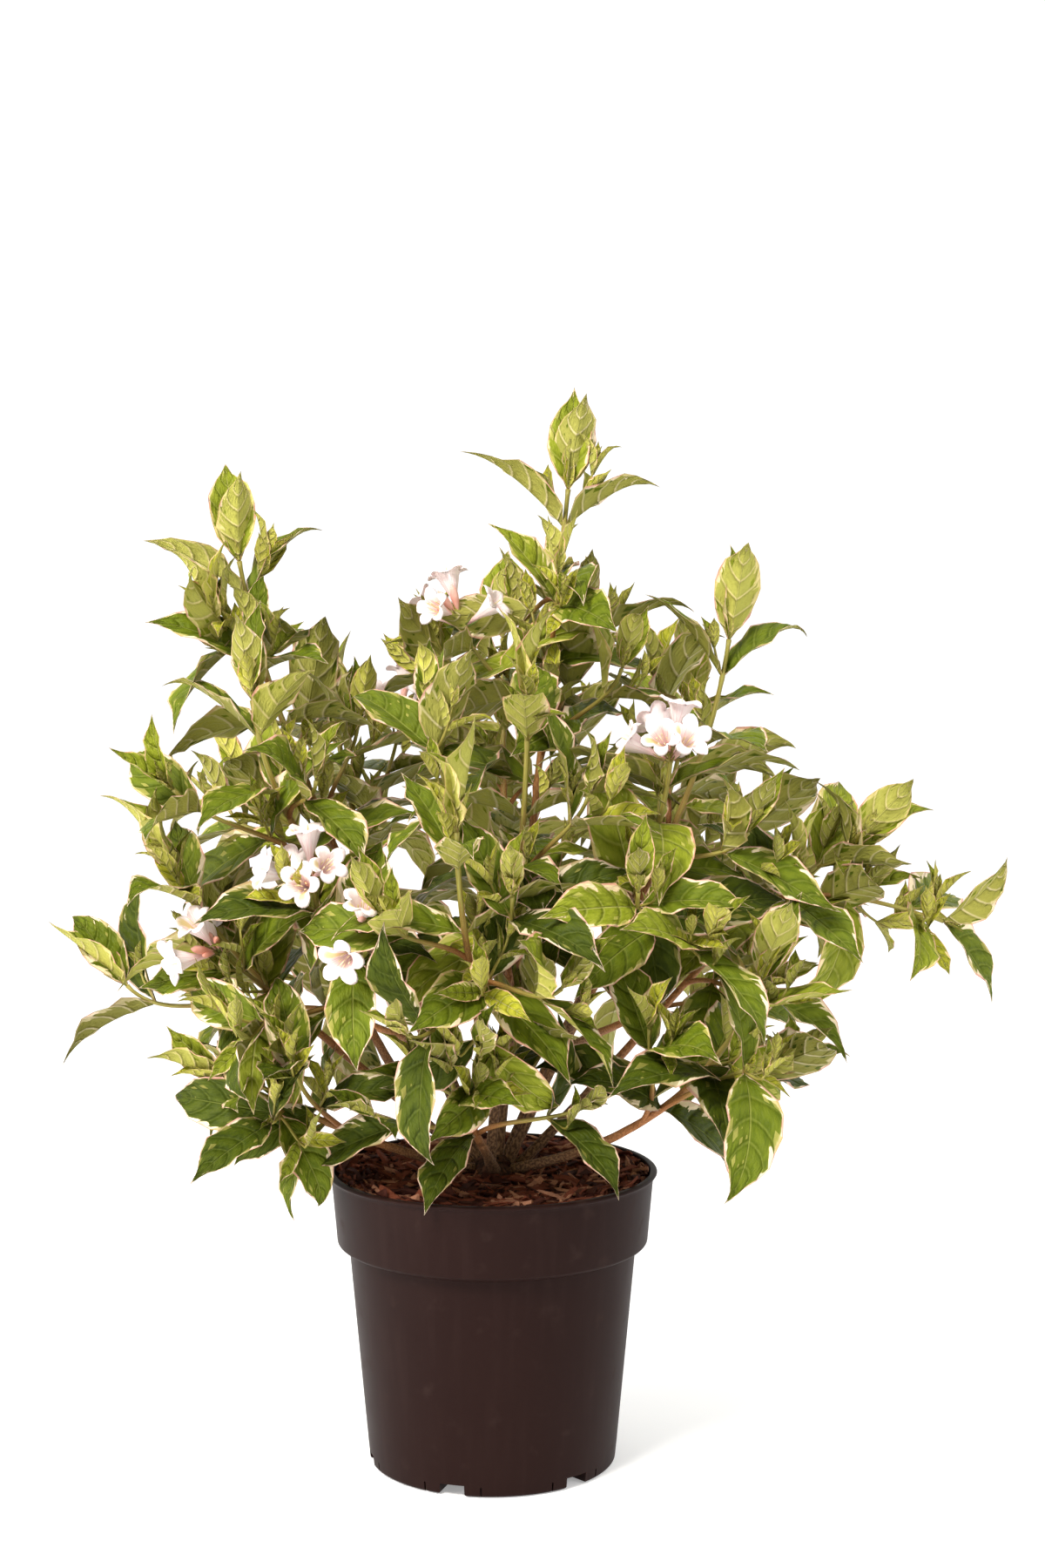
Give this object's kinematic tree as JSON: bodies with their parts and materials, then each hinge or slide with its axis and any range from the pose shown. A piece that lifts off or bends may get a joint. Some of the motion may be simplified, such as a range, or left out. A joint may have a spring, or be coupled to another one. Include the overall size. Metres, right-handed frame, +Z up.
{
  "type": "potted weigela shrub",
  "caption": "Young variegated weigela shrub with pale pink trumpet flowers, many slender canes and cream-edged leaves, in a round nursery pot with bark mulch.",
  "frame": {"origin": "middle of the pot's flat underside, on the surface it stands on", "axes": "+Z up along the pot's axis, +X to the right and -Y to the plant's front"},
  "size_m": [0.6324, 0.5111, 0.7281],
  "materials": {
    "pot": "satin dark brown-grey moulded plastic",
    "mulch": "rough bark chips",
    "stool": "rough grey-brown bark",
    "bark": "smooth red-brown young bark",
    "foliage": "green leaves with cream margins, satin"
  },
  "bodies": {
    "root": {"pot": "pot", "bark_mulch": "mulch", "woody_stool": "stool", "bough_leader": "bark", "bough_front_top": "bark", "bough_front_centre": "bark", "bough_right_top": "bark", "bough_right_front": "bark", "bough_right_arm": "bark", "bough_right_low": "bark", "bough_left_top": "bark", "bough_left_middle": "bark", "bough_left_arm": "bark", "bough_left_front": "bark", "bough_left_low": "bark", "bough_front_low": "bark", "bough_back_left": "bark", "bough_back_centre": "bark", "bough_back_right": "bark", "bough_back_low_left": "bark", "bough_back_low_right": "bark", "foliage_leader": "foliage", "foliage_front_top": "foliage", "foliage_front_centre": "foliage", "foliage_right_top": "foliage", "foliage_right_front": "foliage", "foliage_right_arm": "foliage", "foliage_right_low": "foliage", "foliage_left_top": "foliage", "foliage_left_middle": "foliage", "foliage_left_arm": "foliage", "foliage_left_front": "foliage", "foliage_left_low": "foliage", "foliage_front_low": "foliage", "foliage_back_left": "foliage", "foliage_back_centre": "foliage", "foliage_back_right": "foliage", "foliage_back_low_left": "foliage", "foliage_back_low_right": "foliage"}
  },
  "joints": []
}
